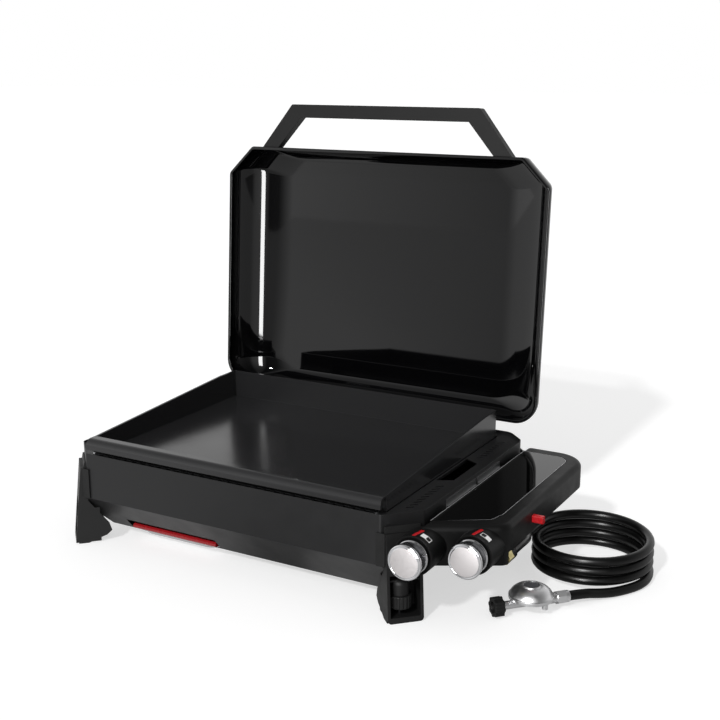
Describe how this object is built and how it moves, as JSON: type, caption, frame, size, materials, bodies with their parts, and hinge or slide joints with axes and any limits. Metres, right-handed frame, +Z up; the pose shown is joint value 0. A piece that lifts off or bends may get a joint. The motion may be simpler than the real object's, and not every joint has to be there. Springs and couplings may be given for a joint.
{
  "type": "outdoor gas griddle station",
  "caption": "Table-top gas griddle with a hinged lid and arched handle, sliding grease tray, corner legs with levelling wheels, and a side console with knobs, hose coil and regulator.",
  "frame": {"origin": "on the ground under the middle of the station's box, measured without the hose and the regulator", "axes": "+X to the control console on the right, +Y to the hinged back, +Z up"},
  "size_m": [0.9726, 0.6382, 0.744],
  "materials": {
    "lid_enamel": "gloss",
    "box_paint": "satin",
    "plate_black": "satin",
    "black_plastic": "matte",
    "console_plastic": "satin",
    "black_glass": "gloss",
    "knob_silver": "satin",
    "red_plastic": "gloss",
    "tray_steel": "satin",
    "foil": "crinkled",
    "plain_steel": "satin",
    "screw_steel": "bright",
    "brass": "satin",
    "pipe_aluminium": "satin",
    "ceramic_white": "glazed",
    "hose_rubber": "satin",
    "regulator_zinc": "polished",
    "regulator_grey": "satin"
  },
  "bodies": {
    "station": {"firebox_shell": "box_paint", "ledge_frame": "box_paint", "plate_supports": "box_paint", "burner_left": "plain_steel", "burner_right": "plain_steel", "burner_cradles": "plain_steel", "electrodes": "ceramic_white", "gas_pipes": "pipe_aluminium", "brass_jets": "brass", "grease_chute": "plain_steel", "tray_rails": "plain_steel", "leg_front_left": "black_plastic", "leg_front_right": "black_plastic", "leg_rear_left": "black_plastic", "leg_rear_right": "black_plastic", "leg_bolts": "screw_steel", "panel_screws": "screw_steel", "console_housing": "console_plastic", "console_base": "console_plastic", "glass_panel": "black_glass", "console_brackets": "plain_steel", "valve_body_left": "brass", "valve_body_right": "brass", "gas_manifold": "plain_steel", "igniter_module": "black_plastic", "hinge_brackets": "box_paint", "inlet_nut": "brass", "hose_riser": "hose_rubber", "hose_coil": "hose_rubber", "hose_tail": "hose_rubber", "regulator_body": "regulator_zinc", "regulator_cap": "regulator_grey", "regulator_nut": "screw_steel"},
    "plate": {"griddle_plate": "plate_black"},
    "lid": {"lid_shell": "lid_enamel", "lid_handle": "black_plastic", "lid_screws": "screw_steel", "hinge_arms": "box_paint"},
    "tray": {"grease_tray": "tray_steel", "tray_pull": "red_plastic", "foil_liner": "foil"},
    "plug_left": {"valve_plug_left": "brass"},
    "plug_right": {"valve_plug_right": "brass"},
    "knob_left": {"knob_left": "knob_silver", "knob_cap_left": "knob_silver", "valve_stem_left": "plain_steel"},
    "knob_right": {"knob_right": "knob_silver", "knob_cap_right": "knob_silver", "valve_stem_right": "plain_steel"},
    "igniter": {"igniter_button": "red_plastic"},
    "wheel_left": {"levelling_wheel_front_left": "black_plastic"},
    "wheel_right": {"levelling_wheel_front_right": "black_plastic"},
    "foot_left": {"levelling_foot_front_left": "plain_steel"},
    "foot_right": {"levelling_foot_front_right": "plain_steel"},
    "handwheel": {"regulator_handwheel": "black_plastic"}
  },
  "joints": [
    {"name": "lid_hinge", "type": "hinge", "parent": "station", "child": "lid", "pos_m": [-0.06192, 0.21202, 0.16804], "axis": [1, 0, 0], "range_deg": [0, 93.84]},
    {"name": "plate_lift", "type": "slide", "parent": "station", "child": "plate", "axis": [0, 0, 1], "range_m": [0, 0.01]},
    {"name": "tray_slide", "type": "slide", "parent": "station", "child": "tray", "axis": [0, -1, 0], "range_m": [0, 0.23]},
    {"name": "igniter_push", "type": "slide", "parent": "station", "child": "igniter", "axis": [-1, 0, 0], "range_m": [0, 0.004], "stiffness_N_per_m": 300, "springref_m": -0.002},
    {"name": "handwheel_turn", "type": "hinge", "parent": "station", "child": "handwheel", "pos_m": [0.38158, -0.18563, 0.017], "axis": [0.6756, 0.7373, 0], "continuous": true},
    {"name": "knob_left_turn", "type": "hinge", "parent": "station", "child": "plug_left", "pos_m": [0.28908, -0.26663, 0.12], "axis": [0, -1, 0], "range_deg": [0, 180]},
    {"name": "knob_left_push", "type": "slide", "parent": "plug_left", "child": "knob_left", "axis": [0, 1, 0], "range_m": [0, 0.004], "stiffness_N_per_m": 400, "springref_m": -0.002},
    {"name": "knob_right_turn", "type": "hinge", "parent": "station", "child": "plug_right", "pos_m": [0.36408, -0.22063, 0.12], "axis": [0, -1, 0], "range_deg": [0, 180]},
    {"name": "knob_right_push", "type": "slide", "parent": "plug_right", "child": "knob_right", "axis": [0, 1, 0], "range_m": [0, 0.004], "stiffness_N_per_m": 400, "springref_m": -0.002},
    {"name": "wheel_left_turn", "type": "hinge", "parent": "station", "child": "wheel_left", "pos_m": [-0.37589, -0.2589, 0.03], "axis": [0, 0, 1], "range_deg": [0, 1440]},
    {"name": "foot_left_lower", "type": "slide", "parent": "station", "child": "foot_left", "axis": [0, 0, -1], "range_m": [0, 0.0071]},
    {"name": "wheel_right_turn", "type": "hinge", "parent": "station", "child": "wheel_right", "pos_m": [0.25205, -0.2589, 0.03], "axis": [0, 0, 1], "range_deg": [0, 1440]},
    {"name": "foot_right_lower", "type": "slide", "parent": "station", "child": "foot_right", "axis": [0, 0, -1], "range_m": [0, 0.0071]}
  ],
  "couplings": [
    {"joint": "foot_left_lower", "follows": "wheel_left_turn", "m_per_rad": 0.00027852},
    {"joint": "foot_right_lower", "follows": "wheel_right_turn", "m_per_rad": 0.00027852}
  ]
}
